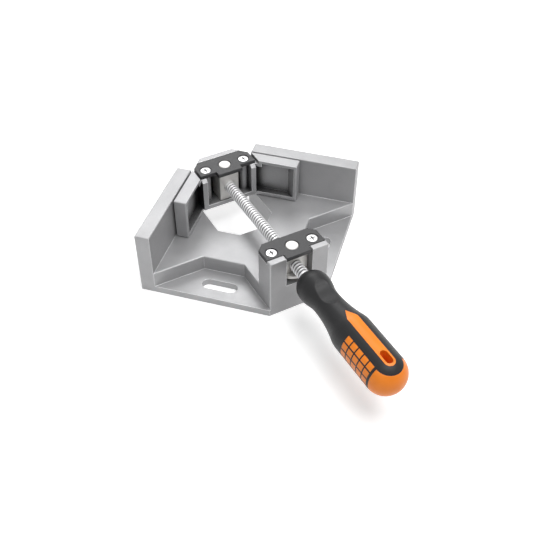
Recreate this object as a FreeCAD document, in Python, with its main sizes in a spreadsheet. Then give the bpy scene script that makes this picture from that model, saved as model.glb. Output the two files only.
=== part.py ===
import FreeCAD, Part
import math
import os
import re
import Sketcher

Vector = FreeCAD.Vector

# Length below which two positions count as the same
TINY = 1e-4

# Corner clamp for two boards that meet at a right angle. All sizes are in millimetres.
# The origin is on the axis of the front pivot, at the underside of the base. +Y points
# along the lead screw to the corner, +Z is up, and the clamp is the same on both sides
# of x = 0 apart from the marks on its handle.

# Driving sizes: name, value, what it is
SIZES = (
    ("fence_start", 41.5, "corner to the near end of a fence, along the fence"),
    ("fence_length", 95.0, "length of each fence"),
    ("fence_thickness", 12.5, "thickness of each fence"),
    ("fence_rise", 18.2, "axis of the lead screw up to the top of the fences"),
    ("floor_height", 20.0, "top of the floor that the boards stand on"),
    ("floor_plate", 4.5, "thickness of the floor's plate"),
    ("ledge_height", 6.2, "top of the mounting ledges"),
    ("ledge_plate", 2.4, "thickness of the ledge's plate"),
    ("casting_wall", 3.6, "thickness of the base's outer walls and ribs"),
    ("fence_core", 5.4, "width of the core hole inside each fence"),
    ("step_knee", 51.2, "half width between the knees of the floor's front edge"),
    ("tower_half", 26.2, "half width of the front tower"),
    ("tower_front", 12.7, "front pivot to the tower's front face"),
    ("tower_back", 11.9, "front pivot to the tower's back face"),
    ("corner_cut", 5.6, "chamfer at the back corners of tower and cover"),
    ("seat_drop", 5.1, "top of the fences down to the front cover's seat"),
    ("lip_depth", 5.4, "depth of the two lips in front of the front cover"),
    ("window_half", 11.6, "half width of the tower's front window"),
    ("sill_drop", 12.3, "axis of the lead screw down to the sill of the tower's windows"),
    ("rear_window_half", 9.0, "half width of the tower's rear window"),
    ("opening_half", 26.25, "half width of the opening in the floor"),
    ("opening_front", 67.0, "front pivot to the front edge of the opening"),
    ("opening_cut", 13.9, "chamfer at the front corners of the opening"),
    ("slot_out", 49.2, "centre line to the middle of a mounting slot"),
    ("slot_inset", 15.62, "slanting edge of the ledge to the middle of its slot"),
    ("slot_length", 30.5, "mounting slot, end to end"),
    ("slot_width", 11.0, "mounting slot, side to side"),
    ("cover_plate", 3.3, "thickness of both cover plates"),
    ("cover_tab_half", 11.4, "half width of a cover plate's front tab"),
    ("stub_radius", 5.15, "pivot stubs of the nut and of the swivel block"),
    ("stub_edge", 0.65, "chamfer round the stub hole of a cover plate"),
    ("cover_screw_out", 18.3, "centre line to a cover screw"),
    ("cover_screw_radius", 2.0, "shank of a cover screw"),
    ("cover_screw_length", 12.0, "cover screw, below its head"),
    ("screw_head_radius", 4.3, "head of a cover screw"),
    ("screw_head_height", 1.9, "height of a cover screw's head"),
    ("head_ring", 0.6, "gap round a cover screw's head"),
    ("spindle_height", 39.2, "axis of the lead screw above the bench"),
    ("spindle_radius", 5.0, "crest of the lead screw's thread"),
    ("neck_radius", 3.5, "neck of the lead screw in the swivel block"),
    ("neck_groove", 0.8, "depth of the retaining ring's groove"),
    ("nut_radius", 12.5, "body of the screw nut"),
    ("nut_drop", 8.5, "axis of the lead screw down to the underside of the nut"),
    ("nut_flat", 6.3, "axis of the front pivot to the flats of the nut"),
    ("nut_foot", 2.4, "height of the round foot below the flats of the nut"),
    ("seat_ring", 8.0, "radius of the raised rings that the nut and the covers bear on"),
    ("stub_depth", 12.0, "length of the nut's lower stub"),
    ("pivot_span", 118.4, "front pivot to rear pivot in the photographed pose"),
    ("corner_ahead", 33.653, "rear pivot to the corner where the lines of the jaw faces meet"),
    ("fence_gap", 1.2, "jaw face to fence face in the photographed pose"),
    ("jaw_depth", 11.0, "jaw wing, face to back"),
    ("jaw_reach", 62.6, "length of a jaw face from the nose to the wing's end"),
    ("jaw_drop", 0.1, "top of the fences down to the top of the jaw"),
    ("jaw_under", 0.9, "gap between the jaw's wings and the floor"),
    ("jaw_box_half", 25.65, "half width of the jaw's middle box"),
    ("jaw_wall", 4.5, "thickness of the box's side walls"),
    ("jaw_floor", 4.0, "thickness of the box's floor"),
    ("jaw_web", 4.1, "thickness of a wing's clamping wall"),
    ("jaw_flange", 2.6, "top flange of a wing"),
    ("jaw_foot", 3.2, "bottom flange of a wing"),
    ("jaw_end_wall", 1.8, "wall at the wing's end, measured across the clamp"),
    ("jaw_front", 9.9, "rear pivot to the front face of the box"),
    ("jaw_back", 17.6, "rear pivot to the jaw's blunt nose"),
    ("seat_half", 28.4, "half width of the rear cover's seat"),
    ("boss_radius", 4.0, "posts for the rear cover's screws"),
    ("block_half", 9.2, "half width of the swivel block"),
    ("block_depth", 17.0, "swivel block, front to back"),
    ("block_height", 25.0, "height of the swivel block's body"),
    ("counterbore_depth", 3.6, "counterbore in the block's front face"),
    ("washer_radius", 6.4, "thrust washer"),
    ("washer_height", 1.0, "thickness of the thrust washer and of the ring"),
    ("ring_radius", 5.4, "retaining ring"),
    ("handle_front", 22.6, "front pivot to the handle's front face"),
    ("handle_neck", 6.2, "radius of the handle's front face"),
    ("flange_radius", 13.8, "finger flange at the handle's front"),
    ("flange_length", 12.7, "front face to the widest place of the flange"),
    ("waist_radius", 11.2, "waist of the handle"),
    ("waist_length", 31.0, "front face to the waist"),
    ("swell_share", 0.82, "share of the swell behind the waist that curves outwards"),
    ("barrel_radius", 16.2, "barrel of the handle"),
    ("barrel_start", 67.7, "front face to the start of the barrel"),
    ("handle_length", 124.7, "handle, end to end"),
    ("grip_wall", 2.6, "thickness of the soft grip over the barrel"),
    ("waist_wall", 3.6, "thickness of the soft grip at the waist"),
    ("strip_start", 54.9, "front face to the tip of the bright strip"),
    ("strip_half", 4.4, "half width of the bright strip"),
    ("strip_taper", 9.5, "length of the strip's pointed tip"),
    ("strip_rear", 14.0, "end of the handle to the centre of the strip's round end"),
    ("hang_length", 12.0, "hanging hole, end to end"),
    ("hang_width", 5.7, "hanging hole, side to side"),
    ("hang_ahead", 3.5, "centre of the strip's round end to the middle of the hanging hole"),
    ("tongue_half", 10.4, "half width of the dark tongue round the strip's end"),
    ("tongue_rear", 14.6, "end of the handle to the centre of the tongue's round end"),
    ("pad_rear", 15.5, "end of the handle to the rear of the pads"),
    ("pad_length", 6.7, "pitch of the pads along the handle"),
    ("pads_in_row", 5, "pads along the handle"),
    ("pad_turn", 21.5, "pitch of the pads round the handle, in degrees"),
    ("pad_rows", 4, "rows of pads round each side of the handle"),
    ("pad_edge", 37.5, "top of the handle to the first pads, in degrees"),
    ("pad_line", 1.15, "width of the dark lines between the pads"),
    ("cap_line", 1.7, "width of the dark line in front of the end cap"),
    ("dimple_ahead", 32.2, "front face to the middle of the thumb rest"),
    ("dimple_depth", 2.3, "depth of the thumb rest"),
    ("dimple_bend", 24.0, "radius of the scoop that leaves the thumb rest"),
    ("shank_sunk", 6.0, "length of the screw's round shank inside the handle"),
    ("tang_length", 44.7, "front face of the handle to the end of the screw's square tang"),
    ("tang_half", 3.4, "half width of the square tang"),
    ("edge_round", 0.9, "rounded outer edges of the castings"),
    ("plate_round", 0.5, "rounded top edges of the cover plates"),
    ("running_fit", 0.08, "radial clearance of a turning fit"),
    ("screw_fit", 0.05, "radial clearance of the screw's plain fits"),
    ("free_gap", 0.3, "gap between faces that move past each other"),
)

# Worked out from the driving sizes: name, formula
WORKED = (
    ("jaw_corner", "pivot_span + corner_ahead"),
    ("corner_reach", "jaw_corner + sqrt(2) * fence_gap"),
    ("fence_height", "spindle_height + fence_rise"),
    ("tower_seat", "fence_height - seat_drop"),
    ("window_sill", "spindle_height - sill_drop"),
    ("fence_far", "fence_start + fence_length"),
    ("tip_x", "fence_far / sqrt(2)"),
    ("tip_y", "corner_reach - tip_x"),
    ("heel_x", "fence_start / sqrt(2)"),
    ("heel_y", "corner_reach - heel_x"),
    ("fence_skew", "fence_thickness / sqrt(2)"),
    ("plate_line", "2 * tip_x - corner_reach"),
    ("plate_corner", "plate_line - tower_front"),
    ("neck_y", "tip_y - step_knee + tower_half"),
    ("lip_back", "tower_front - lip_depth"),
    ("lip_inner", "cover_tab_half + free_gap"),
    ("lip_top", "tower_seat + cover_plate"),
    ("cover_half", "tower_half - free_gap / 3"),
    ("cover_back", "tower_back + free_gap"),
    ("well_radius", "nut_radius + free_gap"),
    ("nut_bottom", "spindle_height - nut_drop"),
    ("nut_top", "tower_seat - free_gap"),
    ("nut_flats", "nut_bottom + nut_foot"),
    ("well_boss", "nut_bottom - free_gap"),
    ("stub_hole", "stub_radius + running_fit"),
    ("cover_front", "lip_back - free_gap / 3"),
    ("tab_front", "tower_front - free_gap * 2"),
    ("jaw_inner", "jaw_corner - sqrt(2) * jaw_depth"),
    ("jaw_nose_y", "pivot_span + jaw_back"),
    ("jaw_nose_x", "jaw_corner - jaw_nose_y"),
    ("wing_tip_x", "jaw_nose_x + jaw_reach / sqrt(2)"),
    ("wing_tip_y", "jaw_corner - wing_tip_x"),
    ("wing_skew", "jaw_depth / sqrt(2)"),
    ("box_front_y", "pivot_span - jaw_front"),
    ("wing_bottom", "floor_height + jaw_under"),
    ("jaw_top", "fence_height - jaw_drop"),
    ("jaw_seat", "jaw_top - cover_plate"),
    ("block_bottom", "spindle_height - block_height / 2"),
    ("block_top", "spindle_height + block_height / 2"),
    ("box_floor", "block_bottom - free_gap"),
    ("jaw_belly", "box_floor - jaw_floor"),
    ("box_inner", "jaw_box_half - jaw_wall"),
    ("web_inner", "jaw_corner - sqrt(2) * jaw_web"),
    ("recess_end", "wing_tip_x - wing_skew - jaw_end_wall"),
    ("box_back", "pivot_span + tower_back + free_gap"),
    ("seat_back", "pivot_span + tower_back + 2 * free_gap"),
    ("rib_y", "opening_front + opening_cut + casting_wall"),
    ("slot_skew", "(slot_length - slot_width) / 2 / sqrt(2)"),
    ("slot_ahead", "slot_out - plate_line + sqrt(2) * slot_inset"),
    ("slot_far", "slot_out + slot_skew"),
    ("slot_near", "slot_out - slot_skew"),
    ("block_front", "pivot_span - block_depth / 2"),
    ("block_back", "pivot_span + block_depth / 2"),
    ("clip_half", "neck_radius - neck_groove"),
    ("washer_front", "block_back + free_gap / 2"),
    ("ring_front", "washer_front + washer_height + free_gap / 3"),
    ("neck_end", "ring_front + 1.5 * washer_height"),
    ("shoulder_y", "block_front + counterbore_depth - free_gap"),
    ("front_y", "-handle_front"),
    ("flange_y", "front_y - flange_length"),
    ("waist_y", "front_y - waist_length"),
    ("belly_y", "(flange_y + waist_y) / 2"),
    ("belly_radius", "(flange_radius + waist_radius) / 2"),
    ("barrel_y", "front_y - barrel_start"),
    ("swell_y", "waist_y + swell_share * (barrel_y - waist_y)"),
    ("swell_radius", "waist_radius + swell_share * (barrel_radius - waist_radius)"),
    ("end_y", "front_y - handle_length"),
    ("dome_y", "end_y + barrel_radius"),
    ("shank_end", "front_y - shank_sunk"),
    ("tang_end", "front_y - tang_length"),
    ("core_radius", "barrel_radius - grip_wall"),
    ("core_waist", "waist_radius - waist_wall"),
    ("strip_y", "front_y - strip_start"),
    ("strip_end_y", "end_y + strip_rear"),
    ("tongue_end_y", "end_y + tongue_rear"),
    ("panel_end_y", "end_y + pad_rear"),
    ("panel_y", "panel_end_y + pad_length * pads_in_row"),
    ("cap_y", "panel_end_y - cap_line"),
    ("hang_front_y", "strip_end_y + (hang_length - hang_width) / 2 + hang_ahead"),
    ("hang_rear_y", "hang_front_y - hang_length + hang_width"),
    ("dimple_y", "front_y - dimple_ahead"),
    ("pad_line_turn", "pad_line / barrel_radius * 180 / pi"),
)


def bind(text):
    """The expression with each size led by the name of the object that holds it."""
    for owner, names in (("Sizes", SIZES), ("Worked", WORKED)):
        words = "|".join(name[0] for name in names)
        text = re.sub(r"(?<![\w.])(" + words + r")(?!\w)", owner + r".\1", text)
    return text


doc = FreeCAD.newDocument("CornerClamp")

sheet = doc.addObject("Spreadsheet::Sheet", "Sizes")
for row, (name, value, meaning) in enumerate(SIZES, 1):
    sheet.set(f"A{row}", meaning)
    sheet.set(f"B{row}", str(value))
    sheet.setAlias(f"B{row}", name)
doc.recompute()

worked = doc.addObject("App::VarSet", "Worked")
for name, formula in WORKED:
    worked.addProperty("App::PropertyFloat", name, "Worked")
    worked.setExpression(name, bind(formula))
doc.recompute()


def size(name):
    """The number that a driving or worked out size holds now."""
    if name in worked.PropertiesList:
        return float(getattr(worked, name))
    return float(sheet.get(name))


def hold(sketch, element, point, place):
    """Tie a point of a sketch to its two coordinates."""
    for kind, axis, value in (("DistanceX", -2, place[0]), ("DistanceY", -1, place[1])):
        if value == "0":
            sketch.addConstraint(Sketcher.Constraint("PointOnObject", element, point, axis))
        else:
            datum = sketch.addConstraint(Sketcher.Constraint(kind, -1, 1, element, point, 1.0))
            sketch.setExpression(f"Constraints[{datum}]", bind(value))


def draw_ring(sketch, place, radius):
    """A circle from its centre and radius."""
    ring = sketch.addGeometry(Part.Circle(Vector(), Vector(0, 0, 1), 1.0))
    hold(sketch, ring, 3, place)
    datum = sketch.addConstraint(Sketcher.Constraint("Radius", ring, 1.0))
    sketch.setExpression(f"Constraints[{datum}]", bind(radius))


def draw_arc(sketch, start, end, axis, level):
    """An arc between two points, from the coordinate that its centre has along one axis."""
    middle = (start + end) / 2
    across = Vector(start.y - end.y, end.x - start.x, 0)
    centre = middle + across * ((level - middle[axis]) / across[axis])
    away = [(point - centre) for point in (start, end)]
    angles = [math.atan2(way.y, way.x) for way in away]
    turned = (angles[1] - angles[0]) % (2 * math.pi) > math.pi + TINY
    if turned:
        angles.reverse()
    circle = Part.Circle(centre, Vector(0, 0, 1), away[0].Length)
    return sketch.addGeometry(Part.ArcOfCircle(circle, *angles)), turned


def draw_outline(sketch, corners):
    """A closed outline, run anticlockwise. A corner with a third entry starts an arc: the
    entry gives an axis, 0 or 1, and the coordinate of the arc's centre along it."""
    pins = []
    for corner in corners:
        pin = sketch.addGeometry(Part.Point(Vector(1, 1, 0)), True)
        hold(sketch, pin, 1, corner)
        pins.append(pin)
    doc.recompute([sketch])
    spots = [sketch.getPoint(pin, 1) for pin in pins]
    for index, corner in enumerate(corners):
        after = (index + 1) % len(corners)
        ends = (1, 2)
        if len(corner) > 2:
            axis, name = corner[2]
            edge, turned = draw_arc(sketch, spots[index], spots[after], axis, size(name))
            kind = ("DistanceX", "DistanceY")[axis]
            datum = sketch.addConstraint(Sketcher.Constraint(kind, -1, 1, edge, 3, size(name)))
            sketch.setExpression(f"Constraints[{datum}]", bind(name))
            if turned:
                ends = (2, 1)
        else:
            edge = sketch.addGeometry(Part.LineSegment(spots[index], spots[after]))
        for end, pin in zip(ends, (pins[index], pins[after])):
            sketch.addConstraint(Sketcher.Constraint("Coincident", edge, end, pin, 1))


def mirrored(corners):
    """Corners of the right side, laid over to the left side and still anticlockwise."""
    return [(f"-({x})", y) for x, y in reversed(corners)]


def new_body(label):
    body = doc.addObject("PartDesign::Body", label)
    body.Label = label
    return body


def new_sketch(body, name, plane, outlines, rings=(), rise="0", lift="0"):
    """A sketch on an origin plane of the body, moved by rise along the plane's normal and
    by lift along the sketch's own second axis."""
    sketch = body.newObject("Sketcher::SketchObject", name + "_sketch")
    support = [entry for entry in body.Origin.OriginFeatures if entry.Role == plane]
    sketch.AttachmentSupport = [(support[0], "")]
    sketch.MapMode = "FlatFace"
    sketch.setExpression("AttachmentOffset.Base.y", bind(lift))
    sketch.setExpression("AttachmentOffset.Base.z", bind(rise))
    doc.recompute([sketch])
    for corners in outlines:
        draw_outline(sketch, corners)
    for place, radius in rings:
        draw_ring(sketch, place, radius)
    return sketch


def extrude(body, kind, name, plane, span, outlines=(), rings=()):
    """Pad or pocket of one sketch over a span along the normal of its plane."""
    sketch = new_sketch(body, name, plane, outlines, rings, span[0])
    feature = body.newObject("PartDesign::" + kind, name)
    feature.Profile = sketch
    feature.Reversed = kind == "Pocket"
    feature.setExpression("Length", bind(f"({span[1]}) - ({span[0]})"))
    doc.recompute()
    return feature


def pad(body, name, span, outlines=(), rings=(), plane="XY_Plane"):
    return extrude(body, "Pad", name, plane, span, outlines, rings)


def pocket(body, name, span, outlines=(), rings=(), plane="XY_Plane"):
    return extrude(body, "Pocket", name, plane, span, outlines, rings)


def turn(body, name, corners):
    """Body of revolution about the axis of the lead screw. Corners are (y, radius)."""
    sketch = new_sketch(body, name, "YZ_Plane", [corners], lift="spindle_height")
    feature = body.newObject("PartDesign::Revolution", name)
    feature.Profile = sketch
    feature.ReferenceAxis = (sketch, ["H_Axis"])
    feature.Angle = 360.0
    doc.recompute()
    return feature


def dress(body, kind, name, amount, chosen):
    """Fillet or chamfer of the edges for which the test holds."""
    last = body.Tip
    names = [f"Edge{n}" for n, edge in enumerate(last.Shape.Edges, 1) if chosen(edge)]
    feature = body.newObject("PartDesign::" + kind, name)
    feature.Base = (last, names)
    feature.setExpression("Radius" if kind == "Fillet" else "Size", bind(amount))
    doc.recompute()
    return feature


def lies_at(edge, level):
    """True for an edge that lies flat at a height."""
    box = edge.BoundBox
    return abs(box.ZMin - level) < TINY and abs(box.ZMax - level) < TINY


def stands(edge):
    """True for a straight upright edge."""
    box = edge.BoundBox
    return box.XLength < TINY and box.YLength < TINY


def stands_at(edge, place):
    """True for a straight upright edge at one place on either side."""
    box = edge.BoundBox
    near = abs(abs(box.XMin) - place[0]) < TINY and abs(box.YMin - place[1]) < TINY
    return stands(edge) and near


def fence_point(along, out):
    """A point of the right fence, by its distance from the corner and behind the face."""
    return f"({along} + {out}) / sqrt(2)", f"corner_reach - ({along} - ({out})) / sqrt(2)"


def box_at(x_from, x_to, y_from, y_to):
    """Corners of a box in a sketch."""
    return [(x_from, y_from), (x_to, y_from), (x_to, y_to), (x_from, y_to)]


# Base casting: a floor for the boards, two fences at a right angle, a tower for the nut
# and two lower ledges with slots. It is hollow below, with walls and ribs that reach the
# bench, as a die casting is.
base = new_body("base_casting")
fence_back = [
    ("tip_x + fence_skew", "tip_y + fence_skew"),
    ("heel_x + fence_skew", "heel_y + fence_skew"),
    ("heel_x", "heel_y"),
]
plate_side = [("plate_corner", "-tower_front")] + fence_back
pad(base, "ledges", ("0", "ledge_height"), [plate_side + mirrored(plate_side)])
floor_side = [
    ("tower_half", "-tower_front"),
    ("tower_half", "neck_y"),
    ("step_knee", "tip_y"),
    ("tip_x", "tip_y"),
]
floor_side += fence_back
pad(base, "floor", ("0", "floor_height"), [floor_side + mirrored(floor_side)])
fence_side = [("tip_x", "tip_y")] + fence_back
pad(base, "fences", ("0", "fence_height"), [fence_side, mirrored(fence_side)])
tower_side = [
    ("tower_half", "-tower_front"),
    ("tower_half", "tower_back - corner_cut"),
    ("tower_half - corner_cut", "tower_back"),
]
pad(base, "tower", ("0", "tower_seat"), [tower_side + mirrored(tower_side)])
lip = box_at("lip_inner", "tower_half", "-tower_front", "-lip_back")
pad(base, "lips", ("floor_height", "lip_top"), [lip, mirrored(lip)])

# Rounded outer edges
dress(base, "Fillet", "fence_rounds", "edge_round", lambda edge: (
    lies_at(edge, size("fence_height"))
    or stands_at(edge, (size("tip_x") + size("fence_skew"), size("tip_y") + size("fence_skew")))
    or stands_at(edge, (size("heel_x") + size("fence_skew"), size("heel_y") + size("fence_skew")))
))
dress(base, "Fillet", "tower_corners", "edge_round",
      lambda edge: stands_at(edge, (size("tower_half"), -size("tower_front"))))
dress(base, "Fillet", "lip_tops", "edge_round", lambda edge: lies_at(edge, size("lip_top")))
dress(base, "Fillet", "step_rounds", "edge_round", lambda edge: (
    lies_at(edge, size("floor_height"))
    and size("tower_half") - TINY < abs(edge.CenterOfMass.x)
    and edge.CenterOfMass.y < size("tip_y") + TINY
    and edge.BoundBox.YMax > size("neck_y") - TINY
))
# Well, windows and bearing for the screw nut
pocket(base, "well", ("window_sill", "lip_top"), rings=[(("0", "0"), "well_radius")])
front_window = box_at("-window_half", "window_half", "-(tower_front + free_gap)", "0")
pocket(base, "front_window", ("window_sill", "lip_top"), [front_window])
rear_window = box_at("-rear_window_half", "rear_window_half", "0", "tower_back + free_gap")
pocket(base, "rear_window", ("window_sill", "lip_top"), [rear_window])
pad(base, "nut_rest", ("window_sill - free_gap", "well_boss"), rings=[(("0", "0"), "seat_ring")])
bearing_span = ("nut_bottom - stub_depth - free_gap", "nut_bottom")
pocket(base, "nut_bearing", bearing_span, rings=[(("0", "0"), "stub_hole")])
tapped = [((f"{sign}cover_screw_out", "0"), "cover_screw_radius + screw_fit") for sign in ("", "-")]
tap_span = ("tower_seat - cover_screw_length", "tower_seat")
pocket(base, "cover_taps", tap_span, rings=tapped)

# Opening through the floor
opening_side = [
    ("opening_half - opening_cut", "opening_front"),
    ("opening_half", "opening_front + opening_cut"),
    ("opening_half", "heel_y + free_gap"),
]
pocket(base, "floor_opening", ("0", "floor_height"), [opening_side + mirrored(opening_side)])

# Hollows of the underside
floor_under = "floor_height - floor_plate"
skew_wall = "casting_wall * sqrt(2)"
middle_side = [
    ("tower_half - casting_wall", "tower_back + casting_wall"),
    ("tower_half - casting_wall",
     f"opening_front + opening_cut - opening_half - {skew_wall} + tower_half - casting_wall"),
    (f"opening_half - opening_cut - casting_wall + {skew_wall}", "opening_front - casting_wall"),
]
pocket(base, "middle_hollow", ("0", floor_under), [middle_side + mirrored(middle_side)])
wing_hollow = [
    ("tower_half", f"neck_y + {skew_wall}"),
    (f"tip_y + casting_wall - neck_y + tower_half - {skew_wall}", "tip_y + casting_wall"),
    ("corner_reach - tip_y - casting_wall", "tip_y + casting_wall"),
    ("corner_reach - heel_y + casting_wall", "heel_y - casting_wall"),
    ("opening_half + casting_wall", "heel_y - casting_wall"),
    ("opening_half + casting_wall",
     f"opening_front + opening_cut + casting_wall - {skew_wall}"),
    ("tower_half", f"opening_front + opening_cut - opening_half + tower_half - {skew_wall}"),
]
pocket(base, "wing_hollows", ("0", floor_under), [wing_hollow, mirrored(wing_hollow)])
ledge_hollow = [
    ("tower_half", f"tower_half - plate_corner - tower_front + {skew_wall}"),
    (f"plate_corner + tower_front + tip_y - {skew_wall}", "tip_y"),
    ("step_knee", "tip_y"),
    ("tower_half", "neck_y"),
]
pocket(base, "ledge_hollows", ("0", "ledge_height - ledge_plate"),
       [ledge_hollow, mirrored(ledge_hollow)])

# A rib on each side stiffens the hollow below the floor
rib = box_at("opening_half", "corner_reach - rib_y", "rib_y", "rib_y + casting_wall")
pad(base, "ribs", ("0", "floor_height - floor_plate / 2"), [rib, mirrored(rib)])

# Cores of the fences, open to the bench
core_out = "(fence_thickness - fence_core) / 2"
core_third = "(fence_length - casting_wall) / 3"
cores = []
for cell in range(3):
    near = f"fence_start + casting_wall + {cell} * {core_third}"
    far = f"fence_start + {cell + 1} * {core_third}"
    corners = [
        fence_point(far, core_out),
        fence_point(far, core_out + " + fence_core"),
        fence_point(near, core_out + " + fence_core"),
        fence_point(near, core_out),
    ]
    cores += [corners, mirrored(corners)]
pocket(base, "fence_cores", ("0", "fence_height - casting_wall"), cores)

# Mounting slots, each with a rim that reaches the bench
def slot(margin):
    """Outline of the right slot, widened by a margin."""
    side = f"(slot_width / 2 + {margin}) / sqrt(2)"
    return [
        (f"slot_near + {side}", f"slot_ahead - slot_skew - {side}"),
        (f"slot_far + {side}", f"slot_ahead + slot_skew - {side}", (0, "slot_far")),
        (f"slot_far - {side}", f"slot_ahead + slot_skew + {side}"),
        (f"slot_near - {side}", f"slot_ahead - slot_skew + {side}", (0, "slot_near")),
    ]


def mirror(body, name, original):
    """The same feature on the other side of x = 0."""
    feature = body.newObject("PartDesign::Mirrored", name)
    feature.Originals = [original]
    plane = [entry for entry in body.Origin.OriginFeatures if entry.Role == "YZ_Plane"]
    feature.MirrorPlane = (plane[0], [""])
    body.Tip = feature
    doc.recompute()
    return feature


rim = pad(base, "slot_rim_right", ("0", "ledge_height - ledge_plate / 2"), [slot("casting_wall")])
mirror(base, "slot_rim_left", rim)
slot_cut = pocket(base, "slot_right", ("0", "ledge_height"), [slot("0")])
mirror(base, "slot_left", slot_cut)

# Moving jaw: two wings with their clamping faces at 45 degrees, hollow towards the screw,
# and a box in the middle that holds the swivel block.
jaw = new_body("moving_jaw")
jaw_side = [
    ("jaw_box_half", "box_front_y"),
    ("jaw_box_half", "jaw_inner - jaw_box_half"),
    ("wing_tip_x - wing_skew", "wing_tip_y - wing_skew"),
    ("wing_tip_x", "wing_tip_y"),
    ("jaw_nose_x", "jaw_nose_y"),
]
pad(jaw, "wings", ("wing_bottom", "jaw_top"), [jaw_side + mirrored(jaw_side)])
dress(jaw, "Fillet", "wing_rounds", "edge_round", lambda edge: (
    stands_at(edge, (size("wing_tip_x"), size("wing_tip_y")))
    or stands_at(edge, (size("wing_tip_x") - size("wing_skew"), size("wing_tip_y") - size("wing_skew")))
    or stands_at(edge, (size("jaw_nose_x"), size("jaw_nose_y")))
    or lies_at(edge, size("jaw_top"))
    and edge.CenterOfMass.y > size("wing_tip_y") - size("wing_skew")
    and abs(edge.CenterOfMass.x) + edge.CenterOfMass.y > size("jaw_inner") + TINY
))
under = box_at("-jaw_box_half", "jaw_box_half", "box_front_y", "jaw_nose_y")
pocket(jaw, "belly", ("wing_bottom", "jaw_belly"), [under])
recess = [
    ("jaw_box_half", "wing_tip_y - wing_skew"),
    ("recess_end", "wing_tip_y - wing_skew"),
    ("recess_end", "web_inner - recess_end"),
    ("jaw_box_half", "web_inner - jaw_box_half"),
]
pocket(jaw, "wing_recesses", ("wing_bottom + jaw_foot", "jaw_top - jaw_flange"),
       [recess, mirrored(recess)])
shoulder = [
    ("jaw_box_half", "jaw_inner - jaw_box_half"),
    ("seat_half + jaw_end_wall", "jaw_inner - seat_half - jaw_end_wall"),
    ("seat_half + jaw_end_wall", "web_inner - seat_half - jaw_end_wall"),
    ("jaw_box_half", "web_inner - jaw_box_half"),
]
pad(jaw, "seat_shoulders", ("jaw_seat - jaw_flange", "jaw_top - jaw_flange / 2"),
    [shoulder, mirrored(shoulder)])
seat = box_at("-seat_half", "seat_half", "box_front_y - seat_half", "seat_back")
pocket(jaw, "cover_seat", ("jaw_seat", "jaw_top"), [seat])
slope = [
    ("box_front_y", "jaw_seat - jaw_flange"),
    ("box_front_y + jaw_flange", "jaw_seat"),
    ("box_front_y", "jaw_seat"),
]
pocket(jaw, "front_slope", ("-jaw_box_half", "jaw_box_half"), [slope], plane="YZ_Plane")
box_side = [
    ("box_inner", "box_front_y"),
    ("box_inner", "web_inner - box_inner"),
    ("web_inner - box_back", "box_back"),
]
pocket(jaw, "block_box", ("box_floor", "jaw_seat"), [box_side + mirrored(box_side)])
rear_screws = [(f"{sign}cover_screw_out", "pivot_span") for sign in ("", "-")]
pad(jaw, "screw_posts", ("box_floor - free_gap", "jaw_seat"),
    rings=[(place, "boss_radius") for place in rear_screws])
pocket(jaw, "post_taps", ("jaw_seat - cover_screw_length", "jaw_seat"),
       rings=[(place, "cover_screw_radius + screw_fit") for place in rear_screws])
pocket(jaw, "block_bearing", ("jaw_belly", "box_floor"), rings=[(("0", "pivot_span"), "stub_hole")])


def cover(label, pivot, seat_level, top_level):
    """A cover plate that closes a pivot, with its stub hole and two countersunk seats."""
    plate = new_body(label)
    right = [
        ("cover_tab_half", f"{pivot} - tab_front"),
        ("cover_tab_half", f"{pivot} - cover_front"),
        ("cover_half", f"{pivot} - cover_front"),
        ("cover_half", f"{pivot} + cover_back - corner_cut"),
        ("cover_half - corner_cut", f"{pivot} + cover_back"),
    ]
    pad(plate, label + "_sheet", (seat_level, top_level), [right + mirrored(right)])
    dress(plate, "Fillet", label + "_rounds", "plate_round",
          lambda edge: lies_at(edge, size(top_level)))
    pocket(plate, label + "_stub_hole", (seat_level, top_level), rings=[((("0", pivot)), "stub_hole")])
    seats = [(f"{sign}cover_screw_out", pivot) for sign in ("", "-")]
    pocket(plate, label + "_screw_holes", (seat_level, top_level),
           rings=[(place, "cover_screw_radius + screw_fit") for place in seats])
    pocket(plate, label + "_head_seats", (f"{top_level} - screw_head_height", top_level),
           rings=[(place, "screw_head_radius + head_ring") for place in seats])
    dress(plate, "Chamfer", label + "_stub_edge", "stub_edge", lambda edge: (
        lies_at(edge, size(top_level))
        and edge.Curve.TypeId == "Part::GeomCircle"
        and abs(edge.Curve.Radius - size("stub_hole")) < TINY
    ))
    return plate


def cover_screw(label, place, top_level):
    """A screw with a low rounded head, sunk into its cover plate."""
    screw = new_body(label)
    head_seat = f"{top_level} - screw_head_height"
    shank = (f"{head_seat} - cover_screw_length + cover_plate - screw_head_height", top_level)
    pad(screw, label + "_shank", shank, rings=[(place, "cover_screw_radius")])
    pad(screw, label + "_head", (head_seat, top_level), rings=[(place, "screw_head_radius")])
    dress(screw, "Fillet", label + "_crown", "screw_head_height / 2", lambda edge: (
        lies_at(edge, size(top_level))
    ))
    return screw


front_cover = cover("front_cover_plate", "0", "tower_seat", "lip_top")
rear_cover = cover("rear_cover_plate", "pivot_span", "jaw_seat", "jaw_top")
front_left = cover_screw("front_cover_screw_left", ("-cover_screw_out", "0"), "lip_top")
front_right = cover_screw("front_cover_screw_right", ("cover_screw_out", "0"), "lip_top")
rear_left = cover_screw("rear_cover_screw_left", ("-cover_screw_out", "pivot_span"), "jaw_top")
rear_right = cover_screw("rear_cover_screw_right", ("cover_screw_out", "pivot_span"), "jaw_top")

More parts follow.
